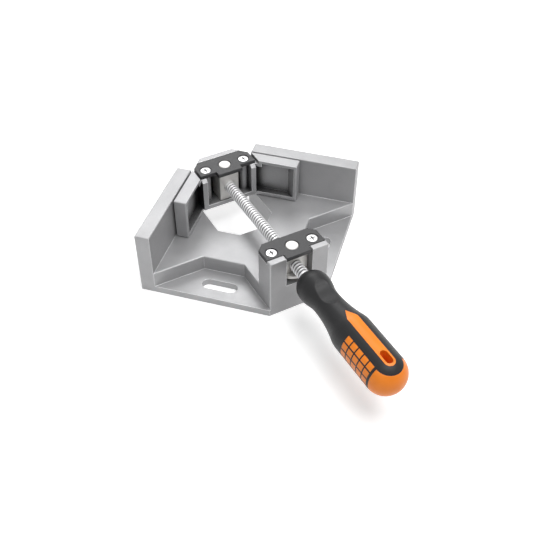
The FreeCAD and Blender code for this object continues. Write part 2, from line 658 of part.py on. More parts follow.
# Screw nut: an upright drum with a pivot stub at each end, bored across for the screw, with
# a flat in front and behind so that the screw shows, and a round foot below the flats
nut = new_body("screw_nut")
front_pivot = ("0", "0")
pad(nut, "nut_drum", ("nut_bottom", "nut_top"), rings=[(front_pivot, "nut_radius")])
beyond = "(nut_radius + free_gap)"
flats = [
    box_at("-" + beyond, beyond, "-" + beyond, "-nut_flat"),
    box_at("-" + beyond, beyond, "nut_flat", beyond),
]
pocket(nut, "nut_flat_cuts", ("nut_flats", "nut_top"), flats)
nut_stub = ("nut_bottom - stub_depth", "lip_top")
pad(nut, "nut_stubs", nut_stub, rings=[(front_pivot, "stub_radius")])
dress(nut, "Chamfer", "nut_edges", "plate_round", lambda edge: (
    lies_at(edge, size("lip_top")) or lies_at(edge, size("nut_bottom") - size("stub_depth"))
))
screw_bore = [(("0", "spindle_height"), "spindle_radius + screw_fit")]
pocket(nut, "nut_bore", ("-nut_radius", "nut_radius"), rings=screw_bore, plane="XZ_Plane")

# Swivel block: carries the end of the screw and turns a little in the jaw
block = new_body("swivel_block")
block_base = box_at("-block_half", "block_half", "block_front", "block_back")
pad(block, "block_body", ("block_bottom", "block_top"), [block_base])
dress(block, "Fillet", "block_rounds", "edge_round", stands)
rear_place = ("0", "pivot_span")
pad(block, "block_collar", ("block_top - free_gap", "jaw_seat - free_gap"), rings=[(rear_place, "seat_ring")])
pad(block, "block_stubs", ("jaw_belly", "jaw_top"), rings=[(rear_place, "stub_radius")])
dress(block, "Chamfer", "block_edges", "plate_round", lambda edge: (
    lies_at(edge, size("jaw_top")) or lies_at(edge, size("jaw_belly"))
))
pocket(block, "neck_bore", ("-block_back", "-block_front"),
       rings=[(("0", "spindle_height"), "neck_radius + screw_fit")], plane="XZ_Plane")
pocket(block, "counterbore", ("-(block_front + counterbore_depth)", "-block_front"),
       rings=[(("0", "spindle_height"), "spindle_radius + free_gap")], plane="XZ_Plane")

# Lead screw: threaded over its whole visible length, necked down in the swivel block, with
# a square tang that the handle is moulded onto
spindle = new_body("lead_screw")
turn(spindle, "screw_turning", [
    ("shank_end", "0"),
    ("neck_end", "0"),
    ("neck_end", "neck_radius - screw_fit"),
    ("ring_front + washer_height + screw_fit", "neck_radius"),
    ("ring_front + washer_height + screw_fit", "neck_radius - neck_groove"),
    ("ring_front - screw_fit", "neck_radius - neck_groove"),
    ("ring_front - screw_fit", "neck_radius"),
    ("shoulder_y", "neck_radius"),
    ("shoulder_y", "spindle_radius - screw_fit"),
    ("shoulder_y - free_gap", "spindle_radius"),
    ("shank_end", "spindle_radius"),
])
tang_square = box_at("-tang_half", "tang_half", "spindle_height - tang_half",
                     "spindle_height + tang_half")
pad(spindle, "tang", ("-shank_end", "-tang_end"), [tang_square], plane="XZ_Plane")


def disc(label, start, outer, inner):
    """A flat ring round the neck of the screw."""
    ring = new_body(label)
    turn(ring, label + "_turning", [
        (start, inner),
        (f"{start} + washer_height", inner),
        (f"{start} + washer_height", outer),
        (start, outer),
    ])
    return ring


washer = disc("thrust_washer", "washer_front", "washer_radius", "neck_radius + screw_fit")
clip = disc("retaining_ring", "ring_front", "ring_radius", "neck_radius - neck_groove + screw_fit")
clip_slot = box_at("-clip_half", "clip_half", "spindle_height - ring_radius", "spindle_height")
pocket(clip, "clip_opening", ("-(ring_front + washer_height)", "-ring_front"), [clip_slot],
       plane="XZ_Plane")

# Handle. Its outer form is turned about the screw and then cut for the thumb rests, the
# hanging hole and the tang. The hard core shows as a strip above and below, as square
# pads on both sides and as the end cap. The soft grip is what is left of the form.
form = new_body("handle_form")
turn(form, "form_turning", [
    ("front_y", "0"),
    ("front_y", "handle_neck", (0, "flange_y")),
    ("flange_y", "flange_radius", (0, "flange_y")),
    ("belly_y", "belly_radius", (0, "waist_y")),
    ("waist_y", "waist_radius", (0, "waist_y")),
    ("swell_y", "swell_radius", (0, "barrel_y")),
    ("barrel_y", "barrel_radius"),
    ("dome_y", "barrel_radius", (0, "dome_y")),
    ("end_y", "0"),
])
scoop = "waist_radius - dimple_depth + dimple_bend"
pocket(form, "thumb_rests", ("-flange_radius", "flange_radius"),
       rings=[(("dimple_y", f"spindle_height {sign} ({scoop})"), "dimple_bend") for sign in "+-"],
       plane="YZ_Plane")
hang_hole = [
    ("hang_width / 2", "hang_rear_y"),
    ("hang_width / 2", "hang_front_y", (1, "hang_front_y")),
    ("-hang_width / 2", "hang_front_y"),
    ("-hang_width / 2", "hang_rear_y", (1, "hang_rear_y")),
]
full_height = ("spindle_height - barrel_radius", "spindle_height + barrel_radius")
pocket(form, "hang_hole", full_height, [hang_hole])
pocket(form, "shank_socket", ("-front_y", "-shank_end"), plane="XZ_Plane",
       rings=[(("0", "spindle_height"), "spindle_radius + screw_fit")])
tang_socket = box_at("-(tang_half + screw_fit)", "tang_half + screw_fit",
                     "spindle_height - tang_half - screw_fit",
                     "spindle_height + tang_half + screw_fit")
pocket(form, "tang_socket", ("-shank_end", "-tang_end + screw_fit"), [tang_socket], plane="XZ_Plane")

# What the core fills: an inner heart with the pads, the two strips and the end cap
heart = new_body("core_heart")
turn(heart, "heart_turning", [
    ("flange_y", "0"),
    ("flange_y", "core_waist"),
    ("waist_y", "core_waist"),
    ("barrel_y", "core_radius"),
    ("dome_y", "core_radius", (0, "dome_y")),
    ("dome_y - core_radius", "0"),
])
pad_sketch = new_sketch(heart, "first_pad", "YZ_Plane", [[
    ("panel_y - pad_length + pad_line / 2", "core_radius - free_gap"),
    ("panel_y - pad_line / 2", "core_radius - free_gap"),
    ("panel_y - pad_line / 2", "barrel_radius + free_gap"),
    ("panel_y - pad_length + pad_line / 2", "barrel_radius + free_gap"),
]], lift="spindle_height")
pad_sketch.AttachmentOffset = FreeCAD.Placement(Vector(), FreeCAD.Rotation(Vector(-1, 0, 0), 1.0))
pad_sketch.setExpression("AttachmentOffset.Rotation.Angle", bind("pad_edge + pad_turn / 2"))
first_pad = heart.newObject("PartDesign::Revolution", "first_pad")
first_pad.Profile = pad_sketch
first_pad.ReferenceAxis = (pad_sketch, ["H_Axis"])
first_pad.Midplane = True
first_pad.setExpression("Angle", bind("pad_turn - pad_line_turn"))
all_pads = heart.newObject("PartDesign::MultiTransform", "all_pads")
all_pads.Originals = [first_pad]
along = doc.addObject("PartDesign::LinearPattern", "pads_along")
along.Direction = (pad_sketch, ["H_Axis"])
along.Reversed = True
along.Mode = "Spacing"
along.setExpression("Offset", bind("pad_length"))
along.setExpression("Occurrences", bind("pads_in_row"))
round_side = doc.addObject("PartDesign::PolarPattern", "pads_round")
round_side.Axis = (pad_sketch, ["H_Axis"])
round_side.Mode = "Spacing"
round_side.Reversed = True
round_side.setExpression("Offset", bind("pad_turn"))
round_side.setExpression("Occurrences", bind("pad_rows"))
both_sides = doc.addObject("PartDesign::PolarPattern", "pads_both_sides")
both_sides.Axis = (pad_sketch, ["H_Axis"])
both_sides.Occurrences = 2
all_pads.Transformations = [along, round_side, both_sides]
heart.Tip = all_pads
doc.recompute()

cap = new_body("cap_space")
cap_half = "(barrel_radius + free_gap)"
cap_box = box_at("-" + cap_half, cap_half, "end_y - free_gap", "cap_y")
pad(cap, "cap_block", full_height, [cap_box])
tongue = [
    ("tongue_half", "tongue_end_y"),
    ("tongue_half", "tongue_end_y + tongue_half"),
    ("-tongue_half", "tongue_end_y + tongue_half"),
    ("-tongue_half", "tongue_end_y", (1, "tongue_end_y")),
]
pocket(cap, "tongue", full_height, [tongue])

strip = new_body("strip_space")
pad(strip, "strips", full_height, [[
    ("strip_half", "strip_end_y"),
    ("strip_half", "strip_y - strip_taper"),
    ("0", "strip_y"),
    ("-strip_half", "strip_y - strip_taper"),
    ("-strip_half", "strip_end_y", (1, "strip_end_y")),
]])

core_space = doc.addObject("Part::MultiFuse", "core_space")
core_space.Shapes = [heart, cap, strip]
core = doc.addObject("Part::Common", "handle_core")
core.Base = form
core.Tool = core_space
grip = doc.addObject("Part::Cut", "handle_grip")
grip.Base = form
grip.Tool = core_space
doc.recompute()

# Checks of every step, then one file for each piece
PIECES = (base, front_cover, front_left, front_right, nut, block, spindle, washer, clip, core,
          grip, jaw, rear_cover, rear_left, rear_right)
GROWS = ("PartDesign::Pad", "PartDesign::Revolution")
for entry in doc.Objects:
    if "Invalid" in entry.State or "Error" in entry.State:
        raise RuntimeError("step failed: " + entry.Name)
for body in doc.findObjects("PartDesign::Body"):
    before = 0.0
    for step in body.Group:
        if not step.isDerivedFrom("PartDesign::Feature"):
            continue
        after = step.Shape.Volume
        if step.TypeId in GROWS and after <= before:
            raise RuntimeError("step adds nothing: " + step.Name)
        if step.TypeId == "PartDesign::Pocket" and after >= before:
            raise RuntimeError("step cuts nothing: " + step.Name)
        before = after
os.makedirs("parts", exist_ok=True)
for piece in PIECES:
    shape = piece.Shape
    if shape.isNull() or not shape.isValid() or len(shape.Solids) != 1:
        raise RuntimeError("not one sound solid: " + piece.Label)
    shape.exportStep(f"parts/{piece.Label}.step")
    print(piece.Label, round(shape.Volume), "mm3")
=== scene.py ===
import math

import bpy
import numpy as np
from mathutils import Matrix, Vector


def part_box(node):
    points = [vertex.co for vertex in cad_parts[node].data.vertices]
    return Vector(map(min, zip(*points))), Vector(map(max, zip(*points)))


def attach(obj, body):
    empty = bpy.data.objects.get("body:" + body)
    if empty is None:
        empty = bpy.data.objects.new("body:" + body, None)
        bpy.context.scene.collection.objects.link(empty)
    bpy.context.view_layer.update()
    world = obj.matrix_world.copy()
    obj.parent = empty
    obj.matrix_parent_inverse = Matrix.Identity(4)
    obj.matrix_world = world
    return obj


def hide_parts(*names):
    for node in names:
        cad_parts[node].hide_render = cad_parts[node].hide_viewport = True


bl_info = {
    "name": "Corner clamp",
    "version": (1, 0, 0),
    "blender": (4, 5, 0),
    "location": "3D Viewport > Sidebar > Clamp",
    "description": "Finish, threads and studio for a corner clamp",
    "category": "Object",
}

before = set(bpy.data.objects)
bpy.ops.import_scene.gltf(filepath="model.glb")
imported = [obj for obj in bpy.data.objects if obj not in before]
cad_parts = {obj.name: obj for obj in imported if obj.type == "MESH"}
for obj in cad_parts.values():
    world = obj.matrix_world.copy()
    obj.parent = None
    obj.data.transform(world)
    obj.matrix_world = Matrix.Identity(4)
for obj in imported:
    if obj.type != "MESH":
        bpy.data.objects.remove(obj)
MM = 0.001
GROOVE = "groove"
FULL_TURN = 2 * math.pi
AXIS_Y, AXIS_Z = 1, 2
WHITE = (1.0, 1.0, 1.0, 1.0)


def middle(node):
    """Middle of a CAD node's box, in metres."""
    low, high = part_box(node)
    return (low + high) / 2


# Sizes and colours

def length(name, description, millimetres):
    """A length that the sidebar shows in the scene's unit."""
    return bpy.props.FloatProperty(name=name, description=description, default=millimetres * MM,
                                   unit="LENGTH", subtype="DISTANCE")


def place(name, description, metres):
    """A point of the scene."""
    return bpy.props.FloatVectorProperty(name=name, description=description, default=metres,
                                         size=3, subtype="TRANSLATION", unit="LENGTH")


def angle(name, description, degrees):
    """An angle that the sidebar shows in degrees."""
    return bpy.props.FloatProperty(name=name, description=description,
                                   default=math.radians(degrees), subtype="ANGLE",
                                   unit="ROTATION")


def power(name, description, watts):
    """The power of a lamp."""
    return bpy.props.FloatProperty(name=name, description=description, default=watts,
                                   unit="POWER")


def colour(name, description, value):
    """A colour without alpha."""
    return bpy.props.FloatVectorProperty(name=name, description=description, default=value,
                                         size=3, subtype="COLOR", min=0.0, max=1.0)


class ScrewSizes(bpy.types.PropertyGroup):
    """Lead screw: its thread, neck, groove and square tang."""
    pitch: length("Pitch", "Thread pitch, right-hand", 3.0)
    depth: length("Thread depth", "Crest to root", 0.95)
    thread_start: length("Thread start", "Front end of the thread, along Y", -21.8)
    thread_end: length("Thread end", "Rear end of the thread, along Y", 109.0)
    neck_start: length("Neck start", "Shoulder in front of the neck, along Y", 113.2)
    neck_radius: length("Neck radius", "Neck in the swivel block", 3.5)
    groove_start: length("Groove start", "Front side of the ring's groove, along Y", 128.1)
    groove_end: length("Groove end", "Rear side of the ring's groove, along Y", 129.2)
    groove_depth: length("Groove depth", "Depth of the ring's groove", 0.8)
    tang_start: length("Tang start", "Rear end of the square tang, along Y", -28.6)
    tang_half: length("Tang half width", "Axis to a flat of the square tang", 3.4)


class CoverScrewSizes(bpy.types.PropertyGroup):
    """Cover screws with a cross recess in a low rounded head."""
    shank: length("Shank radius", "Radius of the shank", 2.0)
    head_height: length("Head height", "Top of the head to its seat", 1.9)
    dome: length("Dome", "Height of the head's crown above its rim", 0.5)
    recess_reach: length("Recess reach", "Half length of a slot of the cross", 2.8)
    recess_half: length("Recess half width", "Half width of a slot of the cross", 0.55)
    recess_depth: length("Recess depth", "Depth of the cross at its middle", 0.8)


class Finishes(bpy.types.PropertyGroup):
    """Colours of the clamp's finishes."""
    casting: colour("Casting", "Silver paint of base and jaw", (0.385, 0.385, 0.392))
    plate: colour("Cover plate", "Black coating of the cover plates", (0.022, 0.022, 0.024))
    steel: colour("Steel", "Plated steel of the screws", (0.88, 0.88, 0.89))
    zinc: colour("Zinc", "Pale zinc of nut and swivel block", (0.64, 0.63, 0.61))
    core: colour("Core", "Orange of the handle's core", (1.0, 0.265, 0.018))
    grip: colour("Grip", "Dark grey of the soft grip", (0.007, 0.007, 0.008))
    floor: colour("Floor", "Pale floor and backdrop", (0.82, 0.82, 0.82))


class StudioSizes(bpy.types.PropertyGroup):
    """Camera and lamps."""
    azimuth: angle("Azimuth", "Camera round the clamp", -28.447)
    elevation: angle("Elevation", "Camera above the horizon", 45.323)
    distance: length("Distance", "Camera to its target", 631.745)
    target: place("Target", "Point the camera looks at", (-0.02877, -0.01276, 0.0200))
    lens: bpy.props.FloatProperty(name="Lens", description="Focal length in millimetres",
                                  default=53.37, min=1.0)
    shift: bpy.props.FloatVectorProperty(name="Shift", description="Camera shift",
                                         default=(0.00497, 0.05495), size=2)
    key: power("Key lamp", "Power of the key lamp", 11.2)
    key_place: place("Key lamp's place", "Over the clamp, a little in front", (0.22, -0.22, 1.15))
    key_side: length("Key lamp's side", "Side of the square key lamp", 900.0)
    fill: power("Fill lamp", "Power of the fill lamp", 0.9)
    fill_place: place("Fill lamp's place", "Left of the clamp", (-0.80, -0.45, 0.70))
    fill_side: length("Fill lamp's side", "Side of the square fill lamp", 900.0)
    rim: power("Rim lamp", "Power of the lamp behind", 3.6)
    rim_place: place("Rim lamp's place", "Behind the clamp", (0.24, 0.78, 0.85))
    rim_side: length("Rim lamp's side", "Side of the square rim lamp", 600.0)
    world: bpy.props.FloatProperty(name="Surrounding light", description="Strength of the world",
                                   default=0.24)


# Materials

class Recipe:
    """A material's node tree, with short ways to add and join nodes."""

    def __init__(self, name, base, roughness, metallic=0.0):
        self.material = bpy.data.materials.new(name)
        self.material.use_nodes = True
        self.material.diffuse_color = (*base, 1.0)
        self.tree = self.material.node_tree
        self.shader = self.tree.nodes["Principled BSDF"]
        self.put("Base Color", (*base, 1.0))
        self.put("Roughness", roughness)
        self.put("Metallic", metallic)
        self.spot = self.add("ShaderNodeTexCoord").outputs["Object"]

    def put(self, socket, value):
        """Sets a constant on a socket of the shader."""
        self.shader.inputs[socket].default_value = value

    def add(self, kind, settings=(), inputs=()):
        """A new node, whose inputs are constants or the outputs of other nodes."""
        node = self.tree.nodes.new(kind)
        for key, value in dict(settings).items():
            setattr(node, key, value)
        for key, value in dict(inputs).items():
            if isinstance(value, bpy.types.NodeSocket):
                self.tree.links.new(value, node.inputs[key])
            else:
                node.inputs[key].default_value = value
        return node

    def join(self, output, socket):
        """Leads a node's output to a socket of the shader."""
        self.tree.links.new(output, self.shader.inputs[socket])

    def noise(self, scale, detail=3.0, stretch=(1.0, 1.0, 1.0)):
        """Noise with a number of blobs per metre, drawn out along the axes."""
        drawn = self.add("ShaderNodeMapping", inputs={"Vector": self.spot, "Scale": stretch})
        made = self.add("ShaderNodeTexNoise", inputs={
            "Vector": drawn.outputs["Vector"], "Scale": scale, "Detail": detail,
        })
        return made.outputs["Fac"]

    def ramp(self, value, low, high, start=0.35, end=0.65):
        """A value laid out from one number to another."""
        made = self.add("ShaderNodeMapRange", inputs={
            "Value": value, "From Min": start, "From Max": end, "To Min": low, "To Max": high,
        })
        return made.outputs["Result"]

    def blend(self, share, first, second):
        """A colour between two, by a share from 0 to 1. The Mix node has a set of sockets for
        each kind of value, so those for colours are given by their places."""
        share_in, first_in, second_in, colour_out = 0, 6, 7, 2
        ends = [end if isinstance(end, bpy.types.NodeSocket) else (*end, 1.0)
                for end in (first, second)]
        made = self.add("ShaderNodeMix", {"data_type": "RGBA"},
                        {share_in: share, first_in: ends[0], second_in: ends[1]})
        return made.outputs[colour_out]

    def edges(self, radius):
        """How far the normal, rounded by a radius, leans from the real one: 1 on an edge. The
        cosine between the two is full on a flat face and falls on an edge."""
        on_edge, on_flat = 0.86, 0.99
        rounded = self.add("ShaderNodeBevel", {"samples": 4}, {"Radius": radius})
        real = self.add("ShaderNodeNewGeometry")
        lean = self.add("ShaderNodeVectorMath", {"operation": "DOT_PRODUCT"},
                        {0: rounded.outputs["Normal"], 1: real.outputs["Normal"]})
        return self.ramp(lean.outputs["Value"], low=1.0, high=0.0, start=on_edge, end=on_flat)

    def hollows(self, reach, closed, open_from):
        """How closed in a spot is by its own piece within a reach: 1 where the open share of
        its sky is below one number and 0 where it is above the other."""
        sky = self.add("ShaderNodeAmbientOcclusion", {"samples": 6, "only_local": True},
                       {"Distance": reach})
        return self.ramp(sky.outputs["AO"], low=1.0, high=0.0, start=closed, end=open_from)

    def groove(self):
        """The share of a groove's depth, from the attribute of a mesh on a grid."""
        return self.add("ShaderNodeAttribute", {"attribute_name": GROOVE}).outputs["Fac"]

    def relief(self, height, strength, distance, edge):
        """Bumps of a height field over edges that are rounded off by a radius."""
        rounded = self.add("ShaderNodeBevel", {"samples": 4}, {"Radius": edge})
        bump = self.add("ShaderNodeBump", inputs={
            "Height": height, "Strength": strength, "Distance": distance,
            "Normal": rounded.outputs["Normal"],
        })
        self.join(bump.outputs["Normal"], "Normal")


def shade(value, factor):
    """A colour made darker or lighter."""
    return tuple(min(1.0, part * factor) for part in value)


def casting_paint(name, base, reach, closed, open_from, hollow_shade_share):
    """Fine satin silver paint: faint clouds of tone and a fine orange peel. Edges get a painted
    highlight, and hollows within a reach get painted shade, down to the given share of the
    colour."""
    edge_highlight_factor = 2.4
    made = Recipe(name, base, roughness=0.42, metallic=0.5)
    tone = made.ramp(made.noise(scale=45.0), low=0.0, high=1.0)
    clouds = made.blend(tone, shade(base, 0.95), shade(base, 1.05))
    # Painted highlight: edges are made lighter, up to the edge factor times the colour.
    tone_and_edge_highlight = made.blend(made.edges(radius=0.9 * MM), clouds, shade(base, edge_highlight_factor))
    # Painted shade: hollows within the reach go darker, down to the given share of the colour.
    dark = made.hollows(reach, closed, open_from)
    made.join(made.blend(dark, tone_and_edge_highlight, shade(base, hollow_shade_share)), "Base Color")
    made.join(made.ramp(made.noise(scale=700.0), low=0.38, high=0.50), "Roughness")
    made.relief(made.noise(scale=2600.0, detail=2.0), strength=0.12, distance=0.06 * MM,
                edge=0.7 * MM)
    return made.material


def black_coating(name, base):
    """Black satin coating on sheet steel."""
    made = Recipe(name, base, roughness=0.42)
    made.join(made.ramp(made.noise(scale=900.0), low=0.36, high=0.50), "Roughness")
    made.relief(made.noise(scale=3000.0, detail=2.0), strength=0.10, distance=0.04 * MM,
                edge=0.4 * MM)
    return made.material


def turned_steel(name, base, roughness, along, metallic=1.0, low_spot_shade_share=0.12, on_grid=False):
    """Plated metal with fine tool marks, drawn out square to the axis it was turned on. The
    grooves of a mesh on a grid, or else close hollows, get painted shade, down to the given
    share of the colour."""
    across = 0.05
    made = Recipe(name, base, roughness, metallic)
    # Painted shade: grooves, or else close hollows, go darker, down to the given share of the
    # colour.
    if on_grid:
        low_spots = made.groove()
    else:
        low_spots = made.hollows(reach=2 * MM, closed=0.15, open_from=0.75)
    made.join(made.blend(low_spots, base, shade(base, low_spot_shade_share)), "Base Color")
    stretch = tuple(1.0 if axis == along else across for axis in range(3))
    marks = made.noise(scale=900.0, detail=2.0, stretch=stretch)
    made.join(made.ramp(marks, low=roughness * 0.8, high=roughness * 1.3), "Roughness")
    made.relief(marks, strength=0.06, distance=0.03 * MM, edge=0.25 * MM)
    return made.material


def hard_plastic(name, base):
    """Moulded hard plastic with a soft gloss."""
    made = Recipe(name, base, roughness=0.33)
    made.put("Specular IOR Level", 0.35)
    tone = made.ramp(made.noise(scale=60.0), low=0.0, high=1.0)
    made.join(made.blend(tone, shade(base, 0.96), shade(base, 1.03)), "Base Color")
    made.join(made.ramp(made.noise(scale=500.0), low=0.29, high=0.38), "Roughness")
    made.relief(made.noise(scale=1500.0, detail=2.0), strength=0.04, distance=0.04 * MM,
                edge=0.6 * MM)
    return made.material


def soft_rubber(name, base):
    """Soft moulded grip with a fine spark-eroded grain."""
    made = Recipe(name, base, roughness=0.44)
    made.put("Specular IOR Level", 0.35)
    made.join(made.ramp(made.noise(scale=700.0), low=0.38, high=0.50), "Roughness")
    made.relief(made.noise(scale=4200.0, detail=2.0), strength=0.22, distance=0.06 * MM,
                edge=0.4 * MM)
    return made.material


def background_rays(tree):
    """1 for the rays that see the background as white, which are the camera's and those off
    metal or through glass, and 0 for all others."""
    path = tree.nodes.new("ShaderNodeLightPath")
    seen = path.outputs["Is Camera Ray"]
    for ray in ("Is Glossy Ray", "Is Transmission Ray"):
        either = tree.nodes.new("ShaderNodeMath")
        either.operation = "MAXIMUM"
        tree.links.new(seen, either.inputs[0])
        tree.links.new(path.outputs[ray], either.inputs[1])
        seen = either.outputs[0]
    return seen


def dress(node, material):
    """Gives a CAD node its finish."""
    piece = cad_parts[node]
    piece.data.materials.clear()
    piece.data.materials.append(material)


# Surfaces on grids

def grid_mesh(name, points, groove):
    """A mesh of quads over a grid of points. The array is rows x columns x 3, and the last
    column joins the first. The groove, 0 to 1 at each point, goes with it."""
    rows, columns = points.shape[:2]
    left = np.arange(rows * columns).reshape(rows, columns)
    right = np.roll(left, -1, axis=1)
    faces = np.stack([left[:-1], right[:-1], right[1:], left[1:]], axis=-1).reshape(-1, 4)
    mesh = bpy.data.meshes.new(name)
    mesh.vertices.add(rows * columns)
    mesh.vertices.foreach_set("co", points.reshape(-1).astype(np.float32))
    mesh.loops.add(faces.size)
    mesh.loops.foreach_set("vertex_index", faces.reshape(-1).astype(np.int32))
    mesh.polygons.add(len(faces))
    mesh.polygons.foreach_set("loop_start", np.arange(0, faces.size, 4, dtype=np.int32))
    mesh.polygons.foreach_set("use_smooth", np.ones(len(faces), bool))
    mesh.update(calc_edges=True)
    mesh.attributes.new(GROOVE, "FLOAT", "POINT").data.foreach_set("value", groove.reshape(-1))
    mesh.validate()
    return mesh


def piece_of(name, mesh, material, body, node):
    """An object that rides on a body and stands for a CAD node."""
    made = bpy.data.objects.new(name, mesh)
    mesh.materials.append(material)
    bpy.context.scene.collection.objects.link(made)
    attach(made, body)
    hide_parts(node)


def lead_screw_points(sizes, axis_height, front, rear, crest):
    """Points of the lead screw. A row stands at a place y on the axis and a column at an
    angle a from +Z towards +X. The radius is the crest, less the thread depth times a
    trapezoid wave of y / pitch - a / full turn, which is a right-hand helix, and it falls to
    the neck, the groove and the tang by steps in y. On the tang the radius at angle a is the
    half width divided by the larger of |cos a| and |sin a|, which draws a square. The first
    and the last row are the poles. The second array is the share of the thread's depth."""
    columns, rows_per_pitch = 72, 20
    crest_share, flank_share = 0.30, 0.42
    step = 0.02 * MM
    chamfer = 0.4 * MM
    a = np.arange(columns) / columns * FULL_TURN
    fine = np.arange(sizes.thread_start, sizes.thread_end, sizes.pitch / rows_per_pitch)
    lead = [front, front, front + chamfer, sizes.tang_start - step, sizes.tang_start,
            sizes.thread_start - step]
    tail = [sizes.thread_end, sizes.neck_start - chamfer, sizes.neck_start,
            sizes.neck_start + step, sizes.groove_start, sizes.groove_start + step,
            sizes.groove_end, sizes.groove_end + step, rear - chamfer, rear, rear]
    y = np.concatenate([lead, fine, tail])[:, None]
    wave = np.abs(((y / sizes.pitch - a[None] / FULL_TURN) % 1.0) * 2 - 1)
    root = np.clip((wave - crest_share) / flank_share, 0.0, 1.0)
    fade = np.clip((y - sizes.thread_start) / sizes.pitch, 0, 1)
    fade = fade * np.clip((sizes.thread_end - y) / sizes.pitch, 0, 1)
    radius = crest - sizes.depth * root * fade
    square = sizes.tang_half / np.maximum(np.abs(np.cos(a)), np.abs(np.sin(a)))[None]
    radius = np.where(y < sizes.tang_start - step / 2, square + 0 * y, radius)
    neck = sizes.neck_radius - np.where((y > sizes.groove_start) & (y <= sizes.groove_end),
                                        sizes.groove_depth, 0.0)
    radius = np.where(y > sizes.neck_start, np.minimum(neck, radius), radius)
    radius = radius - np.clip(y - (rear - chamfer), 0, chamfer)
    radius = radius - np.clip(front + chamfer - y, 0, chamfer)
    at_pole = np.arange(len(y)) % (len(y) - 1) == 0
    radius = radius * np.where(at_pole, 0.0, 1.0)[:, None]
    points = np.stack([radius * np.sin(a), np.broadcast_to(y, radius.shape),
                       axis_height + radius * np.cos(a)], axis=-1)
    return points, root * fade


def cover_screw_points(sizes, middle_x, middle_y, top, bottom, rim):
    """Points of a cover screw. The rows run from the middle of the head outwards and down
    the shank, the columns round it. The crown is a parabola of the distance from the
    middle. The cross recess is the depth times a soft step of the distance from the nearer
    of two lines. Its floor rises outwards, and it fades out at the recess's reach. The
    second array is the share of the recess's depth."""
    columns, head_rows = 96, 34
    slot_side, slot_end = 0.25 * MM, 0.45 * MM
    rise = 0.45
    a = np.arange(columns) / columns * FULL_TURN
    seat = top - sizes.head_height
    out = np.concatenate([np.linspace(0, rim, head_rows), [rim, sizes.shank, sizes.shank, 0.0]])
    out = out[:, None]
    x, y = out * np.cos(a), out * np.sin(a)
    near = np.minimum(np.abs(x), np.abs(y))
    slot = np.clip((sizes.recess_half - near) / slot_side + 0.5, 0, 1)
    reach = np.clip((sizes.recess_reach - out) / slot_end, 0, 1)
    floor = 1 - rise * out / sizes.recess_reach
    dome = sizes.dome * (out / rim) ** 2
    crown = top - dome - sizes.recess_depth * slot * reach * floor
    below = np.array([seat, seat, bottom, bottom])[:, None] + 0 * a[None]
    z = np.concatenate([np.broadcast_to(crown, x.shape)[:head_rows], below])
    deep = np.concatenate([(slot * reach)[:head_rows], 0 * below])
    return np.stack([middle_x + x, middle_y + y, z], axis=-1)[::-1], deep[::-1]


# Operators

class CLAMP_OT_castings(bpy.types.Operator):
    """Silver paint on the base and the jaw"""
    bl_idname = "clamp.castings"
    bl_label = "Castings"

    def execute(self, context):
        silver = context.scene.clamp_finishes.casting
        # Both castings get painted shade in their hollows and painted highlights on their edges;
        # the jaw's painted shade reaches far and turns its box and recesses near black.
        dress("base_casting", casting_paint("silver_paint", silver, reach=8 * MM, closed=0.05,
                                            open_from=0.45, hollow_shade_share=0.35))
        dress("moving_jaw", casting_paint("silver_paint_jaw", silver, reach=32 * MM, closed=0.38,
                                          open_from=0.76, hollow_shade_share=0.08))
        return {"FINISHED"}


class CLAMP_OT_cover_plates(bpy.types.Operator):
    """Black coating on both cover plates"""
    bl_idname = "clamp.cover_plates"
    bl_label = "Cover plates"

    def execute(self, context):
        coating = black_coating("black_coating", context.scene.clamp_finishes.plate)
        for node in ("front_cover_plate", "rear_cover_plate"):
            dress(node, coating)
        return {"FINISHED"}


class CLAMP_OT_pivots(bpy.types.Operator):
    """Zinc and steel of the nut, the block, the washer and the ring"""
    bl_idname = "clamp.pivots"
    bl_label = "Pivot pieces"

    def execute(self, context):
        finishes = context.scene.clamp_finishes
        # Painted shade in the close hollows of nut, block, washer and ring.
        zinc = turned_steel("pale_zinc", finishes.zinc, roughness=0.42, along=AXIS_Z,
                            metallic=0.7)
        ring = turned_steel("ring_steel", finishes.steel, roughness=0.28, along=AXIS_Y)
        for node in ("screw_nut", "swivel_block"):
            dress(node, zinc)
        for node in ("thrust_washer", "retaining_ring"):
            dress(node, ring)
        return {"FINISHED"}


class CLAMP_OT_lead_screw(bpy.types.Operator):
    """Lead screw with its rolled thread"""
    bl_idname = "clamp.lead_screw"
    bl_label = "Lead screw"

    def execute(self, context):
        low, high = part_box("lead_screw")
        points, groove = lead_screw_points(context.scene.clamp_screw, middle("lead_screw").z,
                                           low.y, high.y, (high.z - low.z) / 2)
        # Painted shade in the thread's roots, by the groove share.
        steel = turned_steel("rolled_steel", context.scene.clamp_finishes.steel,
                             roughness=0.38, along=AXIS_Y, metallic=0.9, low_spot_shade_share=0.18,
                             on_grid=True)
        mesh = grid_mesh("lead_screw_thread", points, groove)
        piece_of("lead_screw_thread", mesh, steel, "spindle", "lead_screw")
        return {"FINISHED"}


